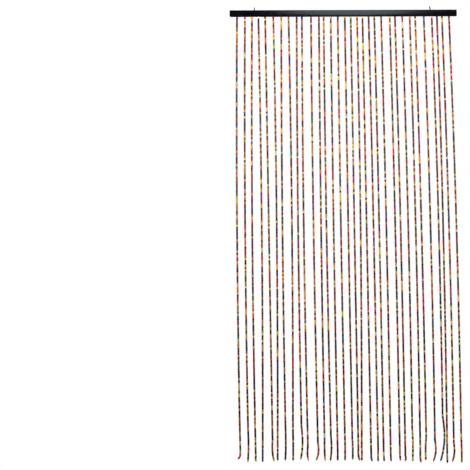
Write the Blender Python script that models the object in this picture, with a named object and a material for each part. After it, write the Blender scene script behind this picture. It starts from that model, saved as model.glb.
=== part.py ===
"""Bead curtain: threaded strands under a black wooden bar that hangs by two ring eyes.

Metres, +Z up.  The origin is where the hooks that carry the curtain bear: on the
bar's centre line, about level with the top of the ring holes.  +X runs along the bar, and
the front of the curtain faces -Y.
"""

import math
from typing import NamedTuple

import bmesh
import bpy
from mathutils import Matrix, Vector

MM = 0.001

# Clearance between two pieces that touch in the real curtain.
FIT_GAP = 0.3 * MM

# The bar: a flat slat on edge, hung below the hooks' bearing height.
BAR_LENGTH = 1000 * MM
BAR_DEPTH = 12 * MM
BAR_HEIGHT = 26.5 * MM
BAR_TOP_Z = -12.5 * MM
BAR_UNDERSIDE_Z = BAR_TOP_Z - BAR_HEIGHT
BAR_EDGE_ROUNDING = 1.2 * MM
BAR_EDGE_SEGMENTS = 3

# The groove along the bar's underside, and the header strip glued into it.
GROOVE_LENGTH = 960 * MM
GROOVE_WIDTH = 4 * MM
GROOVE_DEPTH = 8 * MM
STRIP_LENGTH = GROOVE_LENGTH - 2 * FIT_GAP
STRIP_WIDTH = GROOVE_WIDTH - 2 * FIT_GAP
STRIP_HEIGHT = GROOVE_DEPTH - FIT_GAP

# The ring eyes: one bent wire each, a round ring that closes on its own shank.
WIRE_RADIUS = 1.5 * MM
RING_RADIUS = 5.8 * MM
RING_START = math.radians(-52)
RING_END = math.radians(242)
RING_STEPS = 22
NECK_LENGTH = 1.3 * MM
NECK_STEPS = 5
NECK_PULL = 1.6 * MM
SHANK_DEPTH = 12 * MM
BORE_RADIUS = 1.95 * MM
BORE_SIDES = 16
CUTTER_OVERRUN = 2 * MM

# A strand's section: a thin root at the strip, then the beads' full width.
ROOT_DEPTH = 1.5 * MM
SHOULDER_DEPTH = 2.5 * MM
STRAND_WIDTH = 7 * MM
RUN_SECTIONS = 10
TAIL_SECTIONS = 5

# Neighbouring strands drift a little forward or back on their way down.
DRIFT = 4 * MM
DRIFT_TURN = math.radians(137.5)


class RingEye(NamedTuple):
    """One ring eye: its place along the bar and how it was screwed in."""

    node: str
    along: float
    lift: float
    lean_deg: float
    yaw_deg: float


class Strand(NamedTuple):
    """One strand's route in millimetres, from the bar's underside to its foot.

    hang   place along the bar of its root
    lean   sideways travel of the foot against the root
    bow    sideways swell at mid height
    drop   length from the bar's underside to the foot
    tail   length above the foot over which the strand strays
    bulge  sideways swell half way down the tail
    curl   sideways kick at the very foot
    """

    hang: float
    lean: float
    bow: float
    drop: float
    tail: float
    bulge: float
    curl: float


EYES = (
    RingEye("eye_left", along=-392 * MM, lift=7.3 * MM, lean_deg=0, yaw_deg=10),
    RingEye("eye_right", along=384 * MM, lift=9.2 * MM, lean_deg=-10, yaw_deg=-18),
)

# From left to right:
#      hang lean bow  drop tail bulge curl
STRANDS = (
    Strand(-468, 25, -7, 1921, 28, 0, -14),
    Strand(-433, 25, -7, 1933, 140, 1, -4),
    Strand(-402, 25, -7, 1930, 20, -1, 2),
    Strand(-374, 25, 6, 1934, 30, 0, 0),
    Strand(-344, 39, 0, 1930, 90, -2, 5),
    Strand(-308, 23, 6, 1927, 30, 0, 1),
    Strand(-273, 24, -5, 1927, 120, 0, -4),
    Strand(-241, 21, 6, 1927, 120, 1, 1),
    Strand(-205, 24, -5, 1923, 140, 4, -6),
    Strand(-182, 27, -5, 1928, 60, -3, 1),
    Strand(-142, 30, -4, 1926, 75, 3, -10),
    Strand(-107, 23, -3, 1929, 90, -1, 1),
    Strand(-86, 30, -4, 1928, 110, 2, -5),
    Strand(-55, 26, -2, 1928, 60, 0, -1),
    Strand(-24, 27, -2, 1928, 100, 0, -2),
    Strand(7, 27, -1, 1923, 90, 1, 0),
    Strand(33, 26, 0, 1928, 50, -1, 5),
    Strand(61, 11, 6, 1929, 60, 1, 0),
    Strand(85, 28, 0, 1931, 25, 0, 6),
    Strand(112, 30, 2, 1933, 180, 1, 0),
    Strand(137, 29, 2, 1931, 60, 0, 2),
    Strand(167, 29, 3, 1932, 40, 0, 2),
    Strand(205, 30, 3, 1930, 50, 0, 3),
    Strand(228, 30, 3, 1930, 25, 2, -2),
    Strand(260, 29, 5, 1933, 140, 2, 0),
    Strand(293, 29, 4, 1936, 40, -1, 3),
    Strand(317, 31, 4, 1927, 100, -3, -4),
    Strand(355, 30, 6, 1933, 90, 4, -8),
    Strand(390, 28, 7, 1931, 190, 8, -11),
    Strand(413, 23, 6, 1940, 30, 0, 1),
    Strand(435, 30, 6, 1934, 80, 3, -8),
    Strand(466, 30, 7, 1938, 120, 1, 1),
)

BAR_COLOUR = (0.012, 0.012, 0.014)
STEEL_COLOUR = (0.16, 0.16, 0.17)
BEAD_COLOUR = (0.30, 0.13, 0.07)


def clear_scene():
    """Remove every object of the open scene."""
    for existing in list(bpy.data.objects):
        bpy.data.objects.remove(existing, do_unlink=True)


def make_material(name, colour, roughness, metallic):
    """Return a Principled material of one plain colour."""
    material = bpy.data.materials.new(name)
    material.use_nodes = True
    shader = material.node_tree.nodes["Principled BSDF"]
    shader.inputs["Base Color"].default_value = (*colour, 1.0)
    shader.inputs["Roughness"].default_value = roughness
    shader.inputs["Metallic"].default_value = metallic
    return material


def link_object(name, data, material=None):
    """Put an object with the given data into the scene, in the given material."""
    placed = bpy.data.objects.new(name, data)
    bpy.context.scene.collection.objects.link(placed)
    if material is not None:
        data.materials.append(material)
    return placed


def mesh_from(name, bm):
    """Turn a bmesh into a mesh and free it."""
    mesh = bpy.data.meshes.new(name)
    bm.to_mesh(mesh)
    bm.free()
    return mesh


def box_bmesh(length, depth, height):
    """Return a bmesh of a box around the origin."""
    bm = bmesh.new()
    bmesh.ops.create_cube(bm, size=1.0, matrix=Matrix.Diagonal((length, depth, height, 1.0)))
    return bm


def cut_away(target, name, mesh):
    """Cut a mesh's shape out of the target with a Boolean, and return the cutter."""
    cutter = link_object(name, mesh)
    cutter.hide_render = True
    cutter.display_type = "WIRE"
    cut = target.modifiers.new(name, "BOOLEAN")
    cut.operation = "DIFFERENCE"
    cut.object = cutter
    return cutter


def stand_on_bar(placed, eye):
    """Place an object where a ring eye enters the bar, turned and leaned as the eye is."""
    placed.location = (eye.along, 0.0, BAR_TOP_Z)
    placed.rotation_mode = "ZXY"
    placed.rotation_euler = (0.0, math.radians(eye.lean_deg), math.radians(eye.yaw_deg))


def make_bar():
    """The slat with rounded edges, its groove below and two bores on top."""
    mesh = mesh_from("bar", box_bmesh(BAR_LENGTH, BAR_DEPTH, BAR_HEIGHT))
    bar = link_object("bar", mesh, make_material("bar_lacquer", BAR_COLOUR, 0.35, 0.0))
    bar.location.z = BAR_TOP_Z - BAR_HEIGHT / 2

    rounding = bar.modifiers.new("edge_rounding", "BEVEL")
    rounding.width = BAR_EDGE_ROUNDING
    rounding.segments = BAR_EDGE_SEGMENTS

    groove = mesh_from("groove", box_bmesh(GROOVE_LENGTH, GROOVE_WIDTH, 2 * GROOVE_DEPTH))
    cut_away(bar, "groove", groove).location.z = BAR_UNDERSIDE_Z
    for eye in EYES:
        stand_on_bar(cut_away(bar, f"{eye.node}_bore", bore_mesh()), eye)


def bore_mesh():
    """A round cutter that runs from just above the bar's top down past the shank's end."""
    deepest = SHANK_DEPTH + FIT_GAP
    length = deepest + CUTTER_OVERRUN
    bm = bmesh.new()
    bmesh.ops.create_cone(
        bm, cap_ends=True, segments=BORE_SIDES, radius1=BORE_RADIUS, radius2=BORE_RADIUS,
        depth=length, matrix=Matrix.Translation((0.0, 0.0, CUTTER_OVERRUN - length / 2)))
    return mesh_from("bore", bm)


def ring_point(angle):
    """A point of the ring's centre line, in the ring's own plane around its centre."""
    return Vector((0.0, RING_RADIUS * math.cos(angle), RING_RADIUS * math.sin(angle)))


def eye_route(lift):
    """The bent wire's centre line: shank, neck and ring, from the point on the bar's top."""
    centre = Vector((0.0, 0.0, lift))
    ring_start = centre + ring_point(RING_START)
    heading = Vector((0.0, -math.sin(RING_START), math.cos(RING_START)))
    neck = centre - Vector((0.0, 0.0, RING_RADIUS + NECK_LENGTH))
    neck_handle = neck + Vector((0.0, 0.0, NECK_PULL))
    ring_handle = ring_start - NECK_PULL * heading

    route = [Vector((0.0, 0.0, -SHANK_DEPTH))]
    for step in range(NECK_STEPS):
        t = step / NECK_STEPS
        route.append(
            (1 - t) ** 3 * neck + 3 * t * (1 - t) ** 2 * neck_handle
            + 3 * t ** 2 * (1 - t) * ring_handle + t ** 3 * ring_start)
    for step in range(RING_STEPS + 1):
        angle = RING_START + (RING_END - RING_START) * step / RING_STEPS
        route.append(centre + ring_point(angle))
    return route


def make_eye(eye, material):
    """One ring eye, bent from round wire and seated in the bar's bore."""
    curve = bpy.data.curves.new(eye.node, "CURVE")
    curve.dimensions = "3D"
    curve.bevel_depth = WIRE_RADIUS
    curve.bevel_resolution = 2
    curve.use_fill_caps = True

    route = eye_route(eye.lift)
    wire = curve.splines.new("POLY")
    wire.points.add(len(route) - 1)
    for point, place in zip(wire.points, route):
        point.co = (*place, 1.0)

    stand_on_bar(link_object(eye.node, curve, material), eye)


def strand_centre(strand, index, depth):
    """The middle of a strand's section at a depth (mm) below the bar's underside."""
    t = depth / strand.drop
    strayed = max(0.0, 1 - (strand.drop - depth) / strand.tail)
    x = strand.hang + strand.lean * t + strand.bow * 4 * t * (1 - t)
    x += strand.bulge * math.sin(math.pi * strayed) + strand.curl * strayed ** 3
    y = DRIFT * math.sin(index * DRIFT_TURN) * t
    return Vector((x * MM, y, BAR_UNDERSIDE_Z - depth * MM))


def strand_sections(strand):
    """Yield each section's depth (mm) and half width (m), from the root to the foot."""
    yield ROOT_DEPTH / MM, STRIP_WIDTH / 2
    shoulder = SHOULDER_DEPTH / MM
    tail_top = strand.drop - strand.tail
    for step in range(RUN_SECTIONS + 1):
        yield shoulder + (tail_top - shoulder) * step / RUN_SECTIONS, STRAND_WIDTH / 2
    for step in range(1, TAIL_SECTIONS + 1):
        yield tail_top + strand.tail * step / TAIL_SECTIONS, STRAND_WIDTH / 2


def lower_face(bm, face, centre, half_width):
    """Extrude a four-sided face down to a square section and return that new face."""
    middle = face.calc_center_median()
    lowered = bmesh.ops.extrude_discrete_faces(bm, faces=[face])["faces"][0]
    for vert in lowered.verts:
        side_x = math.copysign(half_width, vert.co.x - middle.x)
        side_y = math.copysign(half_width, vert.co.y - middle.y)
        vert.co = centre + Vector((side_x, side_y, 0.0))
    return lowered


def root_face(bm, hang):
    """The square of the strip's underside that a strand grows from."""
    below = [face for face in bm.faces if face.normal.z < -0.5]
    return min(below, key=lambda face: abs(face.calc_center_median().x - hang))


def make_strands():
    """The header strip and all the strands, fused at their roots."""
    bm = box_bmesh(STRIP_LENGTH, STRIP_WIDTH, STRIP_HEIGHT)
    bmesh.ops.translate(bm, verts=bm.verts, vec=(0.0, 0.0, BAR_UNDERSIDE_Z + STRIP_HEIGHT / 2))
    for strand in STRANDS:
        for side in (-STRIP_WIDTH / 2, STRIP_WIDTH / 2):
            everything = bm.verts[:] + bm.edges[:] + bm.faces[:]
            cut = (strand.hang * MM + side, 0.0, 0.0)
            bmesh.ops.bisect_plane(bm, geom=everything, plane_co=cut, plane_no=(1.0, 0.0, 0.0))

    roots = [root_face(bm, strand.hang * MM) for strand in STRANDS]
    for index, (strand, face) in enumerate(zip(STRANDS, roots)):
        for depth, half_width in strand_sections(strand):
            face = lower_face(bm, face, strand_centre(strand, index, depth), half_width)
    link_object("strands", mesh_from("strands", bm),
                make_material("strand_beads", BEAD_COLOUR, 0.45, 0.0))


def main():
    """Build the curtain's four pieces."""
    clear_scene()
    make_bar()
    steel = make_material("eye_steel", STEEL_COLOUR, 0.4, 1.0)
    for eye in EYES:
        make_eye(eye, steel)
    make_strands()


main()
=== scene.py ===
"""Looks of the bead curtain: dyed wooden beads on threads, under a black lacquered bar.

Metres, +Z up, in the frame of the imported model: the origin is where the hooks that carry
the curtain bear, +X runs along the bar, and the front of the curtain faces -Y.
"""

import logging
import math
from dataclasses import dataclass, field
from enum import Enum
from typing import Iterator, NamedTuple

import bmesh
import bpy
import numpy as np
from mathutils import Euler, Matrix, Quaternion, Vector

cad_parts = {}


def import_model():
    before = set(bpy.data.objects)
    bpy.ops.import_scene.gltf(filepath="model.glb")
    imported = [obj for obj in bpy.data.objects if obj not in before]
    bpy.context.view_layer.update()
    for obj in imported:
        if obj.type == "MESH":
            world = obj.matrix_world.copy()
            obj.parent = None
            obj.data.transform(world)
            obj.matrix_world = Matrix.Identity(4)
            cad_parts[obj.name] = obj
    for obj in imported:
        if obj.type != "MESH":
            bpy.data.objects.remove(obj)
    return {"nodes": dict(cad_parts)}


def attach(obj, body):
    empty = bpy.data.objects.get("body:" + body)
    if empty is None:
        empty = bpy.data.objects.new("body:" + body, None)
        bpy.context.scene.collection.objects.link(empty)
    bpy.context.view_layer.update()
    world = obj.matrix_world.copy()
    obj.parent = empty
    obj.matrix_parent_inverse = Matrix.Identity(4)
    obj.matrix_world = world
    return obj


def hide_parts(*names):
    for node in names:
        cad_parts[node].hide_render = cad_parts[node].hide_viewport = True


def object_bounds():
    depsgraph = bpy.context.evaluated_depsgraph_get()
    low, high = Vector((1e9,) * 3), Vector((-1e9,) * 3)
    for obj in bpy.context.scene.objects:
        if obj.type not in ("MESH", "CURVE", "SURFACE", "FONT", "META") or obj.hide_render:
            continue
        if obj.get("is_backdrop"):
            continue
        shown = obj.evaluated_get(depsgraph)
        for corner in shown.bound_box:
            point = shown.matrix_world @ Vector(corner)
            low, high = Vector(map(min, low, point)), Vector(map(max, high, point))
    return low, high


LOG = logging.getLogger("bead_curtain")

Triple = tuple[float, float, float]
Span = tuple[float, float]

MM = 0.001
BODY = "root"
DOWN = Vector((0.0, 0.0, -1.0))
FULL = (0.0, 1.0)
BLACK = (0.0, 0.0, 0.0)
WHITE = (1.0, 1.0, 1.0, 1.0)
MERGE_DISTANCE = 0.001 * MM

# The display's colour curve: a straight foot, then a power.
BYTE = 255.0
CURVE_FOOT = 0.04045
CURVE_SLOPE = 12.92
CURVE_OFFSET = 0.055
CURVE_POWER = 2.4

# The bar's underside and top, and the clearance that touching pieces keep, as in the solids.
BAR_UNDERSIDE_Z = -39 * MM
BAR_TOP_Z = -12.5 * MM
FIT_GAP = 0.3 * MM

# Neighbouring strands drift a little forward or back on their way down, as in the solids.
DRIFT = 4 * MM
DRIFT_TURN = math.radians(137.5)


class Strand(NamedTuple):
    """One strand's route in millimetres, from the bar's underside to its foot.

    hang   place along the bar of its root
    lean   sideways travel of the foot against the root
    bow    sideways swell at mid height
    drop   length from the bar's underside to the foot
    tail   length above the foot over which the strand strays
    bulge  sideways swell half way down the tail
    curl   sideways kick at the very foot
    """

    hang: float
    lean: float
    bow: float
    drop: float
    tail: float
    bulge: float
    curl: float

    def place(self, index: int, depth: float) -> Vector:
        """Find the middle of the strand at a depth.

        Args:
            index: The strand's number along the bar, from the left.
            depth: Millimetres below the bar's underside.

        Returns:
            The point, in metres, in the model's frame.
        """
        t = depth / self.drop
        strayed = max(0.0, 1 - (self.drop - depth) / self.tail)
        x = self.hang + self.lean * t + self.bow * 4 * t * (1 - t)
        x += self.bulge * math.sin(math.pi * strayed) + self.curl * strayed**3
        y = DRIFT * math.sin(index * DRIFT_TURN) * t
        return Vector((x * MM, y, BAR_UNDERSIDE_Z - depth * MM))

    def heading(self, index: int, depth: float) -> Vector:
        """Find the way the strand runs at a depth.

        Args:
            index: The strand's number along the bar, from the left.
            depth: Millimetres below the bar's underside.

        Returns:
            A unit vector that points towards the foot.
        """
        reach = 1.0
        return (self.place(index, depth + reach) - self.place(index, depth - reach)).normalized()


# From left to right, the same strands as in the solids. These numbers weren't chosen by hand:
# a program fitted them to the strands' lines in the photograph, and some were changed after.
#      hang lean bow  drop tail bulge curl
STRANDS = (
    Strand(-468, 25, -7, 1921, 28, 0, -14),
    Strand(-433, 25, -7, 1933, 140, 1, -4),
    Strand(-402, 25, -7, 1930, 20, -1, 2),
    Strand(-374, 25, 6, 1934, 30, 0, 0),
    Strand(-344, 39, 0, 1930, 90, -2, 5),
    Strand(-308, 23, 6, 1927, 30, 0, 1),
    Strand(-273, 24, -5, 1927, 120, 0, -4),
    Strand(-241, 21, 6, 1927, 120, 1, 1),
    Strand(-205, 24, -5, 1923, 140, 4, -6),
    Strand(-182, 27, -5, 1928, 60, -3, 1),
    Strand(-142, 30, -4, 1926, 75, 3, -10),
    Strand(-107, 23, -3, 1929, 90, -1, 1),
    Strand(-86, 30, -4, 1928, 110, 2, -5),
    Strand(-55, 26, -2, 1928, 60, 0, -1),
    Strand(-24, 27, -2, 1928, 100, 0, -2),
    Strand(7, 27, -1, 1923, 90, 1, 0),
    Strand(33, 26, 0, 1928, 50, -1, 5),
    Strand(61, 11, 6, 1929, 60, 1, 0),
    Strand(85, 28, 0, 1931, 25, 0, 6),
    Strand(112, 30, 2, 1933, 180, 1, 0),
    Strand(137, 29, 2, 1931, 60, 0, 2),
    Strand(167, 29, 3, 1932, 40, 0, 2),
    Strand(205, 30, 3, 1930, 50, 0, 3),
    Strand(228, 30, 3, 1930, 25, 2, -2),
    Strand(260, 29, 5, 1933, 140, 2, 0),
    Strand(293, 29, 4, 1936, 40, -1, 3),
    Strand(317, 31, 4, 1927, 100, -3, -4),
    Strand(355, 30, 6, 1933, 90, 4, -8),
    Strand(390, 28, 7, 1931, 190, 8, -11),
    Strand(413, 23, 6, 1940, 30, 0, 1),
    Strand(435, 30, 6, 1934, 80, 3, -8),
    Strand(466, 30, 7, 1938, 120, 1, 1),
)


class Slot(Enum):
    """The record's material slots."""

    BAR = "bar_lacquer"
    EYE = "eye_steel"
    BEADS = "strand_beads"


class Dye(NamedTuple):
    """One bead colour, in display red, green and blue, and how often it comes."""

    red: int
    green: int
    blue: int
    share: float


class BeadDye(Enum):
    """The colours that the beads are dyed in.

    They were matched to the photograph, with a program's clusters of its colours as a
    guide. Eight come from one formula that scaled the earlier ones: magenta, scarlet, coral,
    peach, teal, cerulean, rosewood and cream. All were then rounded to steps of five.
    """

    MAGENTA = Dye(215, 10, 105, 7)
    CRIMSON = Dye(180, 5, 50, 7)
    SCARLET = Dye(170, 15, 25, 5)
    CORAL = Dye(235, 95, 65, 3)
    PEACH = Dye(240, 170, 80, 4)
    ORANGE = Dye(235, 140, 30, 9)
    RUST = Dye(175, 80, 20, 4)
    YELLOW = Dye(240, 215, 45, 10)
    AMBER = Dye(235, 180, 40, 7)
    OCHRE = Dye(185, 145, 35, 7)
    OLIVE = Dye(105, 105, 15, 5)
    TEAL = Dye(5, 125, 90, 5)
    BOTTLE = Dye(0, 65, 45, 5)
    CERULEAN = Dye(5, 110, 140, 4)
    PETROL = Dye(0, 55, 75, 3)
    VIOLET = Dye(90, 50, 130, 4)
    INDIGO = Dye(55, 10, 75, 5)
    BROWN = Dye(115, 55, 20, 8)
    CHESTNUT = Dye(85, 10, 5, 12)
    ROSEWOOD = Dye(190, 120, 80, 3)
    CREAM = Dye(245, 225, 170, 6)

    def linear(self) -> Triple:
        """Return the dye as scene-linear red, green and blue."""
        dye = self.value
        return tuple(to_linear(part / BYTE) for part in (dye.red, dye.green, dye.blue))


def to_linear(display: float) -> float:
    """Turn one display colour part into its scene-linear value.

    Args:
        display: The part as displayed, from 0 to 1.

    Returns:
        The scene-linear part, from 0 to 1.
    """
    if display <= CURVE_FOOT:
        return display / CURVE_SLOPE
    return ((display + CURVE_OFFSET) / (1 + CURVE_OFFSET)) ** CURVE_POWER


# --------------------------------------------------------------------------- shading


@dataclass
class Shading:
    """Puts nodes into one node tree and joins them."""

    tree: bpy.types.NodeTree

    def add(self, kind: str, **settings: object) -> bpy.types.Node:
        """Add a node.

        Args:
            kind: The node's type name.
            settings: Properties to set on it.

        Returns:
            The new node.
        """
        node = self.tree.nodes.new(kind)
        for name, value in settings.items():
            setattr(node, name, value)
        return node

    def join(self, source: bpy.types.NodeSocket, target: bpy.types.NodeSocket) -> None:
        """Link an output to an input."""
        self.tree.links.new(source, target)

    def maths(
        self,
        operation: str,
        first: bpy.types.NodeSocket | float,
        second: bpy.types.NodeSocket | float = 0.0,
    ) -> bpy.types.NodeSocket:
        """Add a Math node.

        Args:
            operation: The node's operation, such as MULTIPLY.
            first: The first value, or the output that gives it.
            second: The second value, or the output that gives it.

        Returns:
            The node's output.
        """
        node = self.add("ShaderNodeMath", operation=operation)
        for socket, value in zip(node.inputs, (first, second)):
            if isinstance(value, bpy.types.NodeSocket):
                self.join(value, socket)
            else:
                socket.default_value = value
        return node.outputs[0]

    def remap(
        self,
        value: bpy.types.NodeSocket,
        source: Span,
        target: Span,
    ) -> bpy.types.NodeSocket:
        """Add a clamped Map Range node.

        Args:
            value: The output to map.
            source: The range it comes in.
            target: The range it goes out in.

        Returns:
            The node's result.
        """
        node = self.add("ShaderNodeMapRange")
        node.inputs["From Min"].default_value = source[0]
        node.inputs["From Max"].default_value = source[1]
        node.inputs["To Min"].default_value = target[0]
        node.inputs["To Max"].default_value = target[1]
        self.join(value, node.inputs["Value"])
        return node.outputs["Result"]

    def blend(
        self,
        mask: bpy.types.NodeSocket | float,
        first: bpy.types.NodeSocket | Triple,
        second: bpy.types.NodeSocket | Triple,
        how: str = "MIX",
    ) -> bpy.types.NodeSocket:
        """Mix two colours.

        Args:
            mask: How much of the second colour shows.
            first: The first colour, or the output that gives it.
            second: The second colour, or the output that gives it.
            how: The blend type.

        Returns:
            The mixed colour.
        """
        node = self.add("ShaderNodeMix", data_type="RGBA", blend_type=how)
        sockets = (node.inputs["Factor"], node.inputs[6], node.inputs[7])
        for socket, value in zip(sockets, (mask, first, second)):
            if isinstance(value, bpy.types.NodeSocket):
                self.join(value, socket)
            elif isinstance(value, tuple):
                socket.default_value = (*value, 1.0)
            else:
                socket.default_value = value
        return node.outputs[2]


def start_group(name: str, inputs: dict[str, float | tuple], outputs: list[str]) -> Shading:
    """Start a shader node group.

    Args:
        name: The group's name.
        inputs: Each input's name and default; a tuple makes a vector input.
        outputs: The names of its value outputs.

    Returns:
        The group's tree, ready for its nodes.
    """
    group = bpy.data.node_groups.new(name, "ShaderNodeTree")
    for label, default in inputs.items():
        kind = "NodeSocketVector" if isinstance(default, tuple) else "NodeSocketFloat"
        socket = group.interface.new_socket(label, in_out="INPUT", socket_type=kind)
        socket.default_value = default
    for label in outputs:
        group.interface.new_socket(label, in_out="OUTPUT", socket_type="NodeSocketFloat")
    return Shading(group)


def wood_grain_group() -> bpy.types.NodeTree:
    """Build the grain of straight, close wood: soft streaks with finer pores in them.

    Returns:
        The group. Streaks says how many streaks there are to a metre along each axis.
    """
    streak_edges = (0.32, 0.68)
    pore_edges = (0.56, 0.72)
    shading = start_group(
        "wood_grain",
        {"Place": (0.0, 0.0, 0.0), "Streaks": (900.0, 900.0, 90.0), "Waver": 0.4},
        ["Grain", "Pores"],
    )
    given = shading.add("NodeGroupInput")
    result = shading.add("NodeGroupOutput")
    scaled = shading.add("ShaderNodeVectorMath", operation="MULTIPLY")
    shading.join(given.outputs["Place"], scaled.inputs[0])
    shading.join(given.outputs["Streaks"], scaled.inputs[1])

    streaks = shading.add("ShaderNodeTexNoise")
    streaks.inputs["Scale"].default_value = 1.0
    streaks.inputs["Detail"].default_value = 3.0
    shading.join(scaled.outputs[0], streaks.inputs["Vector"])
    shading.join(given.outputs["Waver"], streaks.inputs["Distortion"])
    grain = shading.remap(streaks.outputs["Fac"], streak_edges, FULL)
    shading.join(grain, result.inputs["Grain"])

    pores = shading.add("ShaderNodeTexNoise")
    pores.inputs["Scale"].default_value = 3.1
    pores.inputs["Detail"].default_value = 1.0
    shading.join(scaled.outputs[0], pores.inputs["Vector"])
    shading.join(shading.remap(pores.outputs["Fac"], pore_edges, FULL), result.inputs["Pores"])
    return shading.tree


def handling_group() -> bpy.types.NodeTree:
    """Build what handling leaves on a finish: dull patches and a few fine specks.

    Returns:
        The group. Size is the patches' width in metres.
    """
    patch_edges = (0.35, 0.68)
    speck_fineness = 14.0
    speck_edges = (0.03, 0.09)
    chosen_edges = (0.6, 0.8)
    shading = start_group(
        "handling", {"Place": (0.0, 0.0, 0.0), "Size": 0.05}, ["Dullness", "Specks"]
    )
    given = shading.add("NodeGroupInput")
    result = shading.add("NodeGroupOutput")
    fineness = shading.maths("DIVIDE", 1.0, given.outputs["Size"])

    patches = shading.add("ShaderNodeTexNoise")
    patches.inputs["Detail"].default_value = 4.0
    patches.inputs["Roughness"].default_value = 0.6
    shading.join(given.outputs["Place"], patches.inputs["Vector"])
    shading.join(fineness, patches.inputs["Scale"])
    dullness = shading.remap(patches.outputs["Fac"], patch_edges, FULL)
    shading.join(dullness, result.inputs["Dullness"])

    specks = shading.add("ShaderNodeTexVoronoi")
    shading.join(given.outputs["Place"], specks.inputs["Vector"])
    shading.join(shading.maths("MULTIPLY", fineness, speck_fineness), specks.inputs["Scale"])
    dots = shading.remap(specks.outputs["Distance"], speck_edges, (1.0, 0.0))
    chosen = shading.remap(specks.outputs["Color"], chosen_edges, FULL)
    shading.join(shading.maths("MULTIPLY", dots, chosen), result.inputs["Specks"])
    return shading.tree


@dataclass
class Workshop:
    """The shared shader groups, and the start and end of each material."""

    grain: bpy.types.NodeTree = field(default_factory=wood_grain_group)
    handling: bpy.types.NodeTree = field(default_factory=handling_group)

    def start(self, name: str) -> tuple[bpy.types.Material, Shading, bpy.types.Node]:
        """Start a material.

        Args:
            name: The material's name.

        Returns:
            The material, its tree and its Principled shader.
        """
        material = bpy.data.materials.new(name)
        material.use_nodes = True
        shader = material.node_tree.nodes["Principled BSDF"]
        return material, Shading(material.node_tree), shader

    def place(self, shading: Shading) -> bpy.types.NodeSocket:
        """Return Object coordinates, which are metres in the model's frame."""
        return shading.add("ShaderNodeTexCoord").outputs["Object"]

    def lay_grain(
        self,
        shading: Shading,
        place: bpy.types.NodeSocket,
        streaks: Triple,
        waver: float,
    ) -> bpy.types.Node:
        """Put the wood grain into a material.

        Args:
            shading: The material's tree.
            place: The coordinates it reads.
            streaks: Streaks to a metre along X, Y and Z.
            waver: How much the streaks waver.

        Returns:
            The group node.
        """
        node = shading.add("ShaderNodeGroup", node_tree=self.grain)
        node.inputs["Streaks"].default_value = streaks
        node.inputs["Waver"].default_value = waver
        shading.join(place, node.inputs["Place"])
        return node

    def lay_handling(
        self, shading: Shading, place: bpy.types.NodeSocket, size: float
    ) -> bpy.types.Node:
        """Put the marks of handling into a material.

        Args:
            shading: The material's tree.
            place: The coordinates they read.
            size: The patches' width in metres.

        Returns:
            The group node.
        """
        node = shading.add("ShaderNodeGroup", node_tree=self.handling)
        node.inputs["Size"].default_value = size
        shading.join(place, node.inputs["Place"])
        return node

    def raise_surface(
        self,
        shading: Shading,
        shader: bpy.types.Node,
        height: bpy.types.NodeSocket,
        depth: float,
        strength: float,
    ) -> None:
        """Give a material its bump.

        Args:
            shading: The material's tree.
            shader: Its Principled shader.
            height: The height, from 0 to 1.
            depth: What a height of 1 is in metres.
            strength: How much of it shows.
        """
        bump = shading.add("ShaderNodeBump")
        bump.inputs["Distance"].default_value = depth
        bump.inputs["Strength"].default_value = strength
        shading.join(height, bump.inputs["Height"])
        shading.join(bump.outputs["Normal"], shader.inputs["Normal"])


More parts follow.
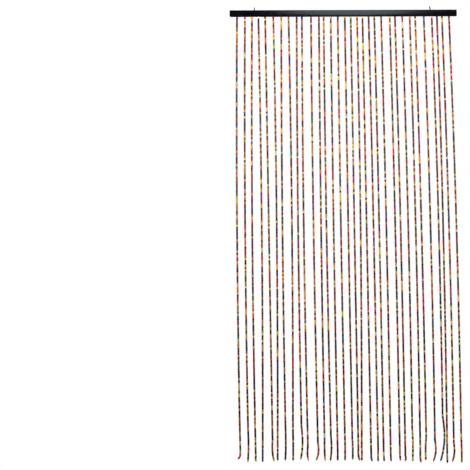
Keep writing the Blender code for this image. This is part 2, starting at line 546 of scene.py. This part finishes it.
@dataclass(frozen=True)
class BeadFinish:
    """Dyed wood under a thin lacquer, with painted shade at each bead's ends. Each bead brings its
    own colour and seed.
    """

    colour_layer: str = "bead_colour"
    seed_layer: str = "bead_seed"
    end_layer: str = "bead_end"
    streaks: Triple = (1500.0, 1500.0, 170.0)
    seed_step: Triple = (0.37, 0.71, 1.13)
    waver: float = 0.3
    patch_size: float = 0.004
    grain_tint: Triple = (0.10, 0.05, 0.03)
    grain_share: float = 0.30
    pore_tint: Triple = (0.05, 0.03, 0.02)
    pore_share: float = 0.25
    # Painted shade at the bead ends: its colour and how much of it shows.
    end_shade_tint: Triple = (0.16, 0.10, 0.08)
    end_shade_share: float = 0.45
    roughness: Span = (0.30, 0.46)
    end_roughness: float = 0.2
    coat: float = 0.15
    coat_roughness: float = 0.22
    relief: float = 0.06 * MM
    relief_share: float = 0.5

    def material(self, workshop: Workshop) -> bpy.types.Material:
        """Build the material.

        Args:
            workshop: The shared shader groups.

        Returns:
            The beads' material.
        """
        material, shading, shader = workshop.start("dyed_beads")
        colour = shading.add("ShaderNodeAttribute", attribute_name=self.colour_layer)
        seed = shading.add("ShaderNodeAttribute", attribute_name=self.seed_layer)
        end = shading.add("ShaderNodeAttribute", attribute_name=self.end_layer)

        shift = shading.add("ShaderNodeVectorMath", operation="MULTIPLY")
        shift.inputs[1].default_value = self.seed_step
        shading.join(seed.outputs["Vector"], shift.inputs[0])
        moved = shading.add("ShaderNodeVectorMath", operation="ADD")
        shading.join(workshop.place(shading), moved.inputs[0])
        shading.join(shift.outputs[0], moved.inputs[1])
        own_place = moved.outputs[0]

        grain = workshop.lay_grain(shading, own_place, self.streaks, self.waver)
        handling = workshop.lay_handling(shading, own_place, self.patch_size)

        darker = shading.remap(grain.outputs["Grain"], FULL, (0.0, self.grain_share))
        grained = shading.blend(darker, colour.outputs["Color"], self.grain_tint, "MULTIPLY")
        pores = shading.maths("MULTIPLY", grain.outputs["Pores"], self.pore_share)
        pored = shading.blend(pores, grained, self.pore_tint)
        # Painted shade: the colour darkens towards each bead's ends, where the beads meet.
        painted_end_shade = shading.maths("MULTIPLY", end.outputs["Fac"], self.end_shade_share)
        dyed = shading.blend(painted_end_shade, pored, self.end_shade_tint, "MULTIPLY")
        shading.join(dyed, shader.inputs["Base Color"])

        satin = shading.remap(handling.outputs["Dullness"], FULL, self.roughness)
        raw_end = shading.maths("MULTIPLY", end.outputs["Fac"], self.end_roughness)
        shading.join(shading.maths("ADD", satin, raw_end), shader.inputs["Roughness"])
        shader.inputs["Coat Weight"].default_value = self.coat
        shader.inputs["Coat Roughness"].default_value = self.coat_roughness
        height = shading.maths("SUBTRACT", 1.0, grain.outputs["Grain"])
        workshop.raise_surface(shading, shader, height, self.relief, self.relief_share)
        return material


@dataclass(frozen=True)
class BarFinish:
    """Black lacquer brushed on wood: the grain stands through it, faintly.

    The lacquer lies a little thicker along the middle of the bar's faces than at their edges.
    """

    lacquer: Triple = (0.0042, 0.0045, 0.0062)
    rubbed: Triple = (0.016, 0.016, 0.018)
    rubbed_share: float = 0.35
    dust: Triple = (0.08, 0.075, 0.07)
    dust_share: float = 0.25
    sheen: Triple = (0.81, 0.87, 1.0)
    streaks: Triple = (14.0, 520.0, 520.0)
    waver: float = 0.6
    patch_size: float = 0.06
    roughness: Span = (0.08, 0.12)
    grain_roughness: float = 0.04
    middle_z: float = BAR_TOP_Z / 2 + BAR_UNDERSIDE_Z / 2
    relief: float = 1.0 * MM
    crown: float = 0.38
    grain_relief: float = 0.0252
    pore_relief: float = 0.021

    def material(self, workshop: Workshop) -> bpy.types.Material:
        """Build the material.

        Args:
            workshop: The shared shader groups.

        Returns:
            The bar's material.
        """
        material, shading, shader = workshop.start("black_lacquer")
        place = workshop.place(shading)
        grain = workshop.lay_grain(shading, place, self.streaks, self.waver)
        handling = workshop.lay_handling(shading, place, self.patch_size)

        rub = shading.maths("MULTIPLY", handling.outputs["Dullness"], self.rubbed_share)
        worn = shading.blend(rub, self.lacquer, self.rubbed)
        specks = shading.maths("MULTIPLY", handling.outputs["Specks"], self.dust_share)
        shading.join(shading.blend(specks, worn, self.dust), shader.inputs["Base Color"])

        satin = shading.remap(handling.outputs["Dullness"], FULL, self.roughness)
        streaked = shading.maths("MULTIPLY", grain.outputs["Grain"], self.grain_roughness)
        shading.join(shading.maths("ADD", satin, streaked), shader.inputs["Roughness"])
        shader.inputs["Specular Tint"].default_value = (*self.sheen, 1.0)

        relief = shading.maths(
            "SUBTRACT",
            shading.maths("MULTIPLY", grain.outputs["Grain"], self.grain_relief),
            shading.maths("MULTIPLY", grain.outputs["Pores"], self.pore_relief),
        )
        split = shading.add("ShaderNodeSeparateXYZ")
        shading.join(place, split.inputs[0])
        offset = shading.maths("SUBTRACT", split.outputs["Z"], self.middle_z)
        half_height = (BAR_TOP_Z - BAR_UNDERSIDE_Z) / 2
        share = shading.maths("DIVIDE", offset, half_height)
        fall = shading.maths("MULTIPLY", shading.maths("MULTIPLY", share, share), self.crown)
        height = shading.maths("SUBTRACT", relief, fall)
        workshop.raise_surface(shading, shader, height, self.relief, 1.0)
        return material


@dataclass(frozen=True)
class EyeFinish:
    """Dark, drawn steel wire with a dull skin."""

    steel: Triple = (0.075, 0.075, 0.08)
    stained: Triple = (0.035, 0.033, 0.031)
    patch_size: float = 0.003
    roughness: Span = (0.28, 0.5)
    relief: float = 0.04 * MM
    relief_share: float = 0.3

    def material(self, workshop: Workshop) -> bpy.types.Material:
        """Build the material.

        Args:
            workshop: The shared shader groups.

        Returns:
            The ring eyes' material.
        """
        material, shading, shader = workshop.start("drawn_steel")
        handling = workshop.lay_handling(shading, workshop.place(shading), self.patch_size)
        dullness = handling.outputs["Dullness"]
        steel = shading.blend(dullness, self.steel, self.stained)
        shading.join(steel, shader.inputs["Base Color"])
        shader.inputs["Metallic"].default_value = 1.0
        shading.join(shading.remap(dullness, FULL, self.roughness), shader.inputs["Roughness"])
        workshop.raise_surface(shading, shader, dullness, self.relief, self.relief_share)
        return material


@dataclass(frozen=True)
class ThreadFinish:
    """Twisted polyester thread, off-white, with painted shade in the grooves of its twist."""

    fibre: Triple = (0.62, 0.58, 0.50)
    hollow_shade: Triple = (0.34, 0.30, 0.24)
    twists_per_metre: float = 900.0
    waver: float = 1.5
    roughness: Span = (0.95, 0.8)
    relief: float = 0.1 * MM
    relief_share: float = 0.7

    def material(self, workshop: Workshop) -> bpy.types.Material:
        """Build the material.

        Args:
            workshop: The shared shader groups.

        Returns:
            The threads' material.
        """
        material, shading, shader = workshop.start("twisted_thread")
        twist = shading.add("ShaderNodeTexWave", wave_type="BANDS", bands_direction="DIAGONAL")
        twist.inputs["Scale"].default_value = self.twists_per_metre
        twist.inputs["Distortion"].default_value = self.waver
        shading.join(workshop.place(shading), twist.inputs["Vector"])
        strand = twist.outputs["Fac"]
        # Painted shade: the grooves of the twist are coloured darker.
        shading.join(shading.blend(strand, self.hollow_shade, self.fibre), shader.inputs["Base Color"])
        shading.join(shading.remap(strand, FULL, self.roughness), shader.inputs["Roughness"])
        workshop.raise_surface(shading, shader, strand, self.relief, self.relief_share)
        return material


@dataclass(frozen=True)
class StripFinish:
    """The header strip: black cotton tape, woven plain, stiff with glue, with painted shade in the
    grooves of its weave.
    """

    ridge: Triple = (0.030, 0.029, 0.030)
    hollow_shade: Triple = (0.007, 0.007, 0.008)
    ribs_per_metre: float = 1300.0
    roughness: Span = (0.95, 0.7)
    relief: float = 0.15 * MM
    relief_share: float = 0.6

    def material(self, workshop: Workshop) -> bpy.types.Material:
        """Build the material.

        Args:
            workshop: The shared shader groups.

        Returns:
            The strip's material.
        """
        material, shading, shader = workshop.start("woven_strip")
        place = workshop.place(shading)
        ribs = []
        for direction in ("X", "Y"):
            rib = shading.add("ShaderNodeTexWave", wave_type="BANDS", bands_direction=direction)
            rib.inputs["Scale"].default_value = self.ribs_per_metre
            shading.join(place, rib.inputs["Vector"])
            ribs.append(rib.outputs["Fac"])
        weave = shading.maths("MULTIPLY", *ribs)
        # Painted shade: the grooves between the ribs of the weave are coloured darker.
        shading.join(shading.blend(weave, self.hollow_shade, self.ridge), shader.inputs["Base Color"])
        shading.join(shading.remap(weave, FULL, self.roughness), shader.inputs["Roughness"])
        workshop.raise_surface(shading, shader, weave, self.relief, self.relief_share)
        return material


# ----------------------------------------------------------------------------- pieces


def mesh_from(name: str, bm: bmesh.types.BMesh) -> bpy.types.Mesh:
    """Turn a built shape into a mesh.

    Args:
        name: The mesh's name.
        bm: The shape, which is freed.

    Returns:
        The new mesh.
    """
    mesh = bpy.data.meshes.new(name)
    bm.to_mesh(mesh)
    bm.free()
    return mesh


def link_piece(name: str, mesh: bpy.types.Mesh, material: bpy.types.Material) -> bpy.types.Object:
    """Put a finished mesh into the scene.

    Args:
        name: The piece's name.
        mesh: Its mesh, already in place.
        material: Its material.

    Returns:
        The new object, at the origin.
    """
    mesh.materials.clear()
    mesh.materials.append(material)
    piece = bpy.data.objects.new(name, mesh)
    bpy.context.scene.collection.objects.link(piece)
    return piece


def join_object(piece: bpy.types.Object, slot: Slot, *stands_for: str) -> None:
    """Fix a piece to the curtain and report it.

    Args:
        piece: The piece.
        slot: The material slot meant for the piece; not used.
        stands_for: The nodes of the solids that it is shown instead of.
    """
    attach(piece, BODY)
    if stands_for:
        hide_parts(*stands_for)
    LOG.info("%s: %d faces", piece.name, len(piece.data.polygons))


def sweep(name: str, routes: list[list[Vector]], radius: float, sides: int) -> bpy.types.Mesh:
    """Run a round section along some routes.

    Args:
        name: The mesh's name.
        routes: The points that each run follows, in metres.
        radius: The section's radius in metres.
        sides: How many sides the section has, an even number.

    Returns:
        One mesh with a closed tube for each route.
    """
    curve = bpy.data.curves.new(name, "CURVE")
    curve.dimensions = "3D"
    curve.bevel_depth = radius
    curve.bevel_resolution = sides // 2 - 2
    curve.use_fill_caps = True
    for route in routes:
        spline = curve.splines.new("POLY")
        spline.points.add(len(route) - 1)
        for point, place in zip(spline.points, route):
            point.co = (*place, 1.0)
    carrier = bpy.data.objects.new(name, curve)
    bpy.context.scene.collection.objects.link(carrier)
    graph = bpy.context.evaluated_depsgraph_get()
    mesh = bpy.data.meshes.new_from_object(carrier.evaluated_get(graph))
    bpy.data.objects.remove(carrier, do_unlink=True)
    bpy.data.curves.remove(curve)

    bm = bmesh.new()
    bm.from_mesh(mesh)
    bmesh.ops.remove_doubles(bm, verts=bm.verts, dist=MERGE_DISTANCE)
    bm.to_mesh(mesh)
    bm.free()
    mesh.name = name
    mesh.shade_smooth()
    return mesh


@dataclass
class BeadString:
    """The beads of all the strands, one joined mesh for each strand."""

    finish: BeadFinish = field(default_factory=BeadFinish)
    diameter: float = 8.0
    pitch: float = 9.4
    gap: float = 0.25
    rim: float = 1.4
    rim_segments: int = 2
    sides: int = 10
    first_depth: float = 1.2
    foot_room: float = 3.5
    measure_steps: int = 800
    length_spread: float = 0.09
    length_limits: Span = (0.8, 1.2)
    width_spread: float = 0.03
    width_limits: Span = (0.94, 1.06)
    tilt_deg: float = 1.2
    sway: float = 0.12
    end_start: float = 0.75
    end_reach: float = 0.2
    run_chance: float = 0.07
    strength_spread: float = 0.25
    hue_spread: float = 0.03
    darkest: float = 0.004
    palest: float = 0.95
    seed: int = 31

    def template(self) -> bpy.types.Mesh:
        """Cut one bead of mean size: a short length of dowel with eased rims.

        Returns:
            Its mesh, in millimetres, around the origin with its hole along Z.
        """
        bm = bmesh.new()
        bmesh.ops.create_cone(
            bm, cap_ends=True, segments=self.sides, radius1=self.diameter / 2,
            radius2=self.diameter / 2, depth=self.pitch - self.gap)
        # A rim's edge lies level, and a wall's edge spans the whole bead.
        rims = [edge for edge in bm.edges
                if abs(edge.verts[0].co.z - edge.verts[1].co.z) < self.gap]
        bmesh.ops.bevel(
            bm, geom=rims, offset=self.rim, offset_type="OFFSET", segments=self.rim_segments,
            profile=0.5, affect="EDGES", material=-1)
        return mesh_from("bead", bm)

    def colours(self, count: int, rng: np.random.Generator) -> np.ndarray:
        """Draw a strand's bead colours, in which the same dye may come twice or more running.

        Args:
            count: How many beads the strand has.
            rng: The seeded source of chance.

        Returns:
            One scene-linear colour a bead.
        """
        dyes = list(BeadDye)
        shares = np.array([dye.value.share for dye in dyes])
        drawn = rng.choice(len(dyes), size=count, p=shares / shares.sum())
        repeats = rng.random(count) < self.run_chance
        for bead in range(1, count):
            if repeats[bead]:
                drawn[bead] = drawn[bead - 1]
        palette = np.array([dye.linear() for dye in dyes])
        strength = rng.normal(1.0, self.strength_spread, (count, 1))
        strength = strength + rng.normal(0.0, self.hue_spread, (count, len(palette[0])))
        dyed = np.maximum(palette[drawn] * strength, self.darkest)
        return dyed / np.maximum(1.0, dyed.max(axis=1, keepdims=True) / self.palest)

    def thread_on(
        self, strand: Strand, index: int, rng: np.random.Generator
    ) -> Iterator[tuple[Matrix, float]]:
        """Thread a strand's beads, one under the other.

        Args:
            strand: The strand.
            index: Its number along the bar.
            rng: The seeded source of chance.

        Yields:
            Each bead's place, turn and size as a matrix on the template, and its seed.
        """
        depths = np.linspace(self.first_depth, strand.drop - self.foot_room, self.measure_steps)
        route = np.array([strand.place(index, depth) for depth in depths]) / MM
        paces = np.linalg.norm(np.diff(route, axis=0), axis=1)
        measured = np.concatenate(([0.0], np.cumsum(paces)))
        count = round(measured[-1] / self.pitch)
        lengths = np.clip(rng.normal(1.0, self.length_spread, count), *self.length_limits)
        lengths *= measured[-1] / lengths.sum()
        middles = np.cumsum(lengths) - lengths / 2
        widths = np.clip(rng.normal(1.0, self.width_spread, count), *self.width_limits)
        slant = math.radians(self.tilt_deg)
        for depth, length, width in zip(np.interp(middles, measured, depths), lengths, widths):
            along = DOWN.rotation_difference(strand.heading(index, depth))
            tilt = Euler((*rng.normal(0.0, slant, 2), rng.uniform(0, math.tau)))
            sway = Vector((*rng.normal(0.0, self.sway, 2), 0.0))
            size = Matrix.Diagonal((width, width, length / self.pitch, 1.0))
            turn = along.to_matrix().to_4x4() @ tilt.to_matrix().to_4x4()
            place = Matrix.Translation(strand.place(index, depth) + sway * MM)
            yield place @ Matrix.Scale(MM, 4) @ turn @ size, rng.random()

    def build_strand(
        self, strand: Strand, index: int, template: bpy.types.Mesh, material: bpy.types.Material
    ) -> bpy.types.Object:
        """Join a strand's beads into one mesh.

        Args:
            strand: The strand.
            index: Its number along the bar.
            template: The bead that they are copies of.
            material: The beads' material.

        Returns:
            The strand's beads.
        """
        rng = np.random.default_rng(self.seed + index)
        threaded = list(self.thread_on(strand, index, rng))
        bm = bmesh.new()
        for place, _ in threaded:
            laid = len(bm.verts)
            bm.from_mesh(template)
            bmesh.ops.transform(bm, matrix=place, verts=bm.verts[laid:])
        mesh = mesh_from(f"beads_{index + 1:02d}", bm)

        step = len(template.vertices)
        seeds = np.array([seed for _, seed in threaded])
        heights = np.array([abs(vert.co.z) for vert in template.vertices])
        # Nearness to each bead's ends, from 0 to 1: the material paints shade there and roughens
        # the surface.
        ends = np.clip((heights / (self.pitch / 2) - self.end_start) / self.end_reach, *FULL)
        colour = np.ones((len(threaded), step, 4))
        colour[:, :, :3] = self.colours(len(threaded), rng)[:, None, :]
        for name, kind, part, values in (
            (self.finish.colour_layer, "FLOAT_COLOR", "color", colour),
            (self.finish.seed_layer, "FLOAT", "value", np.repeat(seeds, step)),
            (self.finish.end_layer, "FLOAT", "value", np.tile(ends, len(threaded))),
        ):
            layer = mesh.attributes.new(name, kind, "POINT")
            layer.data.foreach_set(part, values.astype(np.float32).ravel())
        mesh.shade_smooth()
        piece = link_piece(mesh.name, mesh, material)
        piece.modifiers.new("straight_walls", "WEIGHTED_NORMAL")
        return piece

    def build(self, workshop: Workshop) -> None:
        """Make every strand's beads.

        Args:
            workshop: The shared shader groups.
        """
        template = self.template()
        material = self.finish.material(workshop)
        for index, strand in enumerate(STRANDS):
            piece = self.build_strand(strand, index, template, material)
            join_object(piece, Slot.BEADS, "strands")
        bpy.data.meshes.remove(template)


@dataclass
class Threads:
    """The threads through the beads, each with a knot and a short end below the last bead."""

    finish: ThreadFinish = field(default_factory=ThreadFinish)
    radius: float = 0.55
    sides: int = 8
    run_steps: int = 20
    tail_steps: int = 24
    knot_radius: float = 1.25
    knot_height: float = 1.6
    knot_steps: int = 36
    end_length: float = 5.0
    knot_depth: float = 2.2

    def run(self, strand: Strand, index: int) -> list[Vector]:
        """Run a thread through a strand's beads.

        Args:
            strand: The strand.
            index: Its number along the bar.

        Returns:
            The thread's route from the header strip down to its knot, in metres.
        """
        tail_top = strand.drop - strand.tail
        above = np.linspace(-FIT_GAP / MM, tail_top, self.run_steps, endpoint=False)
        below = np.linspace(tail_top, strand.drop - self.knot_depth, self.tail_steps)
        return [strand.place(index, depth) for depth in (*above, *below)]

    def knot(self, strand: Strand, index: int) -> list[Vector]:
        """Tie the overhand knot that holds the last bead, and leave its short end.

        Args:
            strand: The strand.
            index: Its number along the bar.

        Returns:
            The knot's route in metres, a trefoil drawn out to a loose end.
        """
        centre = strand.place(index, strand.drop - self.knot_depth)
        route = []
        for step in range(self.knot_steps):
            turn = math.tau * step / self.knot_steps
            reach = self.knot_radius * (2 + math.cos(3 * turn)) / 3
            route.append(centre + MM * Vector((
                reach * math.cos(2 * turn),
                reach * math.sin(2 * turn),
                self.knot_height / 2 * math.sin(3 * turn),
            )))
        sideways = Vector((math.cos(index), math.sin(index), 0.0))
        for share in (0.5, 1.0):
            fall = DOWN * self.end_length * share + sideways * share
            route.append(centre + MM * fall)
        return route

    def build(self, workshop: Workshop) -> None:
        """Make the threads and their knots.

        Args:
            workshop: The shared shader groups.
        """
        routes = []
        for index, strand in enumerate(STRANDS):
            routes.append(self.run(strand, index))
            routes.append(self.knot(strand, index))
        mesh = sweep("threads", routes, self.radius * MM, self.sides)
        piece = link_piece("threads", mesh, self.finish.material(workshop))
        join_object(piece, Slot.BEADS, "strands")


@dataclass
class HeaderStrip:
    """The strip in the bar's groove that the threads are sewn to."""

    finish: StripFinish = field(default_factory=StripFinish)
    length: float = 959.4
    width: float = 3.4
    height: float = 7.7
    rounding: float = 0.4
    rounding_segments: int = 2

    def build(self, workshop: Workshop) -> None:
        """Make the strip.

        Args:
            workshop: The shared shader groups.
        """
        bm = bmesh.new()
        size = Matrix.Diagonal((self.length * MM, self.width * MM, self.height * MM, 1.0))
        middle = Matrix.Translation((0.0, 0.0, BAR_UNDERSIDE_Z + self.height * MM / 2))
        bmesh.ops.create_cube(bm, size=1.0, matrix=middle @ size)
        bmesh.ops.bevel(
            bm, geom=bm.edges[:], offset=self.rounding * MM, offset_type="OFFSET",
            segments=self.rounding_segments, profile=0.5, affect="EDGES", material=-1)
        mesh = mesh_from("header_strip", bm)
        mesh.shade_smooth()
        piece = link_piece("header_strip", mesh, self.finish.material(workshop))
        join_object(piece, Slot.BEADS, "strands")


@dataclass
class RingEye:
    """One ring eye: round wire bent to a ring that closes on its own shank."""

    node: str
    along: float
    lift: float
    lean_deg: float
    yaw_deg: float
    wire_radius: float = 1.5
    ring_radius: float = 5.8
    ring_start_deg: float = -52
    ring_end_deg: float = 242
    ring_steps: int = 60
    neck_length: float = 1.3
    neck_pull: float = 1.6
    neck_steps: int = 12
    shank_depth: float = 12.0
    sides: int = 16
    thread_radius: float = 0.3
    thread_pitch: float = 1.1
    thread_steps: int = 14
    thread_sides: int = 8

    def ring_point(self, angle: float) -> Vector:
        """Return a point of the ring's centre line around its centre, in millimetres."""
        return self.ring_radius * Vector((0.0, math.cos(angle), math.sin(angle)))

    def route(self) -> list[Vector]:
        """Bend the wire.

        Returns:
            Its centre line in millimetres, from the shank's end, around the point where it
            enters the bar.
        """
        start, end = math.radians(self.ring_start_deg), math.radians(self.ring_end_deg)
        centre = Vector((0.0, 0.0, self.lift))
        ring_start = centre + self.ring_point(start)
        heading = Vector((0.0, -math.sin(start), math.cos(start)))
        neck = centre + DOWN * (self.ring_radius + self.neck_length)
        neck_handle = neck - DOWN * self.neck_pull
        ring_handle = ring_start - heading * self.neck_pull
        points = [DOWN * self.shank_depth]
        for step in range(self.neck_steps):
            t = step / self.neck_steps
            points.append(
                (1 - t) ** 3 * neck + 3 * t * (1 - t) ** 2 * neck_handle
                + 3 * t**2 * (1 - t) * ring_handle + t**3 * ring_start)
        for step in range(self.ring_steps + 1):
            points.append(centre + self.ring_point(start + (end - start) * step / self.ring_steps))
        return points

    def thread(self) -> list[Vector]:
        """Wind the screw thread's crest around the shank, up to where the neck begins.

        Returns:
            Its route in millimetres, around the point where the wire enters the bar.
        """
        rise = self.shank_depth + self.lift - self.ring_radius - self.neck_length
        turns = rise / self.thread_pitch
        points = []
        for step in range(round(turns * self.thread_steps) + 1):
            turn = math.tau * step / self.thread_steps
            around = self.wire_radius * Vector((math.cos(turn), math.sin(turn), 0.0))
            climb = self.thread_pitch * step / self.thread_steps - self.shank_depth
            points.append(around - DOWN * climb)
        return points

    def build(self, material: bpy.types.Material) -> None:
        """Make the eye and seat it in the bar.

        Args:
            material: The steel's material.
        """
        turn = Euler((0.0, math.radians(self.lean_deg), math.radians(self.yaw_deg)), "ZXY")
        foot = Vector((self.along * MM, 0.0, BAR_TOP_Z))
        seat = Matrix.Translation(foot) @ turn.to_matrix().to_4x4() @ Matrix.Scale(MM, 4)
        for part, route, radius, sides in (
            ("wire", self.route(), self.wire_radius, self.sides),
            ("thread", self.thread(), self.thread_radius, self.thread_sides),
        ):
            seated = [seat @ point for point in route]
            mesh = sweep(f"{part}_{self.node}", [seated], radius * MM, sides)
            join_object(link_piece(mesh.name, mesh, material), Slot.EYE, self.node)


@dataclass
class Bar:
    """The slat. Its solid is right as it is and gets its lacquer here."""

    finish: BarFinish = field(default_factory=BarFinish)

    def build(self, bar: bpy.types.Object, workshop: Workshop) -> None:
        """Lacquer the bar.

        Args:
            bar: The bar's node.
            workshop: The shared shader groups.
        """
        bar.data.materials.clear()
        bar.data.materials.append(self.finish.material(workshop))
        LOG.info("%s: lacquered", bar.name)


# ----------------------------------------------------------------------------- studio


class LampShape(Enum):
    """The shapes that a softbox comes in."""

    SQUARE = "SQUARE"
    DISK = "DISK"


class Softbox(NamedTuple):
    """A studio light: its place and aim in metres, its width, its power in watts, its shape."""

    name: str
    place: Triple
    aim: Triple
    width: float
    power: float
    shape: LampShape = LampShape.SQUARE


@dataclass
class Studio:
    """The floor, the lights and the camera."""

    floor_z: float = -2.0
    floor_width: float = 60.0
    floor_colour: Triple = (0.2, 0.2, 0.2)
    sky_above: float = 0.5
    sky_below: float = 0.04
    sky_edge: Span = (0.60, 0.85)
    softboxes: tuple[Softbox, ...] = (
        Softbox("key", (-1.7, -2.0, -0.2), (0.0, 0.0, -0.4), 1.0, 35.0),
        Softbox("fill", (1.7, -2.0, -0.2), (0.0, 0.0, -0.4), 1.0, 30.0),
        Softbox("crown", (0.2, -2.2, 1.9), (0.0, 0.0, -0.3), 1.0, 75.0),
        Softbox("back", (-1.2, 2.4, 0.2), (0.0, 0.0, -0.7), 1.4, 40.0),
        Softbox(
            "bar_sheen", (0.06, -3.6, 1.36), (0.0, 0.0, -0.03), 1.12, 13.0, LampShape.DISK),
    )
    frame_pixels: float = 470.0
    focal_pixels: float = 833.6
    axis_pixel: Span = (343.0, 235.0)
    camera_place: Triple = (-0.004, -3.6, -1.2535)
    pitch_deg: float = 3.94
    roll_deg: float = -0.2
    sensor_width: float = 36.0
    print_gamma: float = 0.76

    def lay_floor(self) -> None:
        """Lay the pale floor below the curtain's feet."""
        bm = bmesh.new()
        bmesh.ops.create_grid(
            bm, x_segments=1, y_segments=1, size=self.floor_width / 2,
            matrix=Matrix.Translation((0.0, 0.0, self.floor_z)))
        mesh = mesh_from("floor", bm)
        material = bpy.data.materials.new("pale_floor")
        material.use_nodes = True
        shader = material.node_tree.nodes["Principled BSDF"]
        shading = Shading(material.node_tree)
        seen = shading.add("ShaderNodeLightPath").outputs["Is Camera Ray"]
        colour = shading.blend(seen, self.floor_colour, BLACK)
        shading.join(colour, shader.inputs["Base Color"])
        shading.join(seen, shader.inputs["Emission Strength"])
        shader.inputs["Emission Color"].default_value = WHITE
        shader.inputs["Specular IOR Level"].default_value = 0.0
        link_piece("floor", mesh, material)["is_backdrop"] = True

    def hang_lights(self) -> None:
        """Hang the softboxes."""
        for box in self.softboxes:
            lamp = bpy.data.lights.new(box.name, "AREA")
            lamp.shape = box.shape.value
            lamp.size = box.width
            lamp.energy = box.power
            light = bpy.data.objects.new(box.name, lamp)
            place = Vector(box.place)
            light.location = place
            light.rotation_euler = (Vector(box.aim) - place).to_track_quat("-Z", "Y").to_euler()
            bpy.context.scene.collection.objects.link(light)

    def light_room(self) -> None:
        """Fill the room with soft light, paler above, before a white backdrop."""
        world = bpy.data.worlds.new("studio")
        bpy.context.scene.world = world
        world.use_nodes = True
        shading = Shading(world.node_tree)
        light = world.node_tree.nodes["Background"]
        output = world.node_tree.nodes["World Output"]
        split = shading.add("ShaderNodeSeparateXYZ")
        shading.join(shading.add("ShaderNodeTexCoord").outputs["Generated"], split.inputs[0])
        sky = shading.remap(split.outputs["Z"], self.sky_edge, (self.sky_below, self.sky_above))
        shading.join(sky, light.inputs["Color"])
        backdrop = shading.add("ShaderNodeBackground")
        backdrop.inputs["Color"].default_value = WHITE
        choice = shading.add("ShaderNodeMixShader")
        shading.join(shading.add("ShaderNodeLightPath").outputs["Is Camera Ray"], choice.inputs[0])
        shading.join(light.outputs[0], choice.inputs[1])
        shading.join(backdrop.outputs[0], choice.inputs[2])
        shading.join(choice.outputs[0], output.inputs["Surface"])

    def place_camera(self) -> None:
        """Set the camera at the photograph's place and angle."""
        lens = bpy.data.cameras.new("camera")
        lens.sensor_width = self.sensor_width
        lens.lens = self.sensor_width * self.focal_pixels / self.frame_pixels
        lens.shift_x = 0.5 - self.axis_pixel[0] / self.frame_pixels
        lens.shift_y = self.axis_pixel[1] / self.frame_pixels - 0.5
        camera = bpy.data.objects.new("camera", lens)
        bpy.context.scene.collection.objects.link(camera)
        level = Quaternion((1.0, 0.0, 0.0), math.radians(90.0 + self.pitch_deg))
        roll = Quaternion((0.0, 0.0, 1.0), math.radians(self.roll_deg))
        camera.location = self.camera_place
        camera.rotation_mode = "QUATERNION"
        camera.rotation_quaternion = level @ roll
        bpy.context.scene.camera = camera

    def build(self) -> None:
        """Set up the studio."""
        self.lay_floor()
        self.hang_lights()
        self.light_room()
        self.place_camera()
        colours = bpy.context.scene.view_settings
        colours.view_transform = "Standard"
        colours.gamma = self.print_gamma


EYES = (
    RingEye("eye_left", along=-392, lift=7.3, lean_deg=0, yaw_deg=10),
    RingEye("eye_right", along=384, lift=9.2, lean_deg=-10, yaw_deg=-18),
)


def write_sizes(solids: tuple[Vector, Vector]) -> None:
    """Gather the solids' box and the dressed part's box as lists of corners.

    Args:
        solids: The solids' lowest and highest corners.
    """
    boxes = {"solids": solids, "dressed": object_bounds()}
    {name: [list(corner) for corner in box] for name, box in boxes.items()}


def main() -> None:
    """Dress the curtain and set up the studio."""
    logging.basicConfig(level=logging.INFO, format="%(name)s %(message)s")
    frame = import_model()
    solids = tuple(corner.copy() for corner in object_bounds())
    workshop = Workshop()
    Bar().build(frame["nodes"]["bar"], workshop)
    steel = EyeFinish().material(workshop)
    for eye in EYES:
        eye.build(steel)
    HeaderStrip().build(workshop)
    Threads().build(workshop)
    BeadString().build(workshop)
    Studio().build()
    write_sizes(solids)


if __name__ == "__main__":
    main()
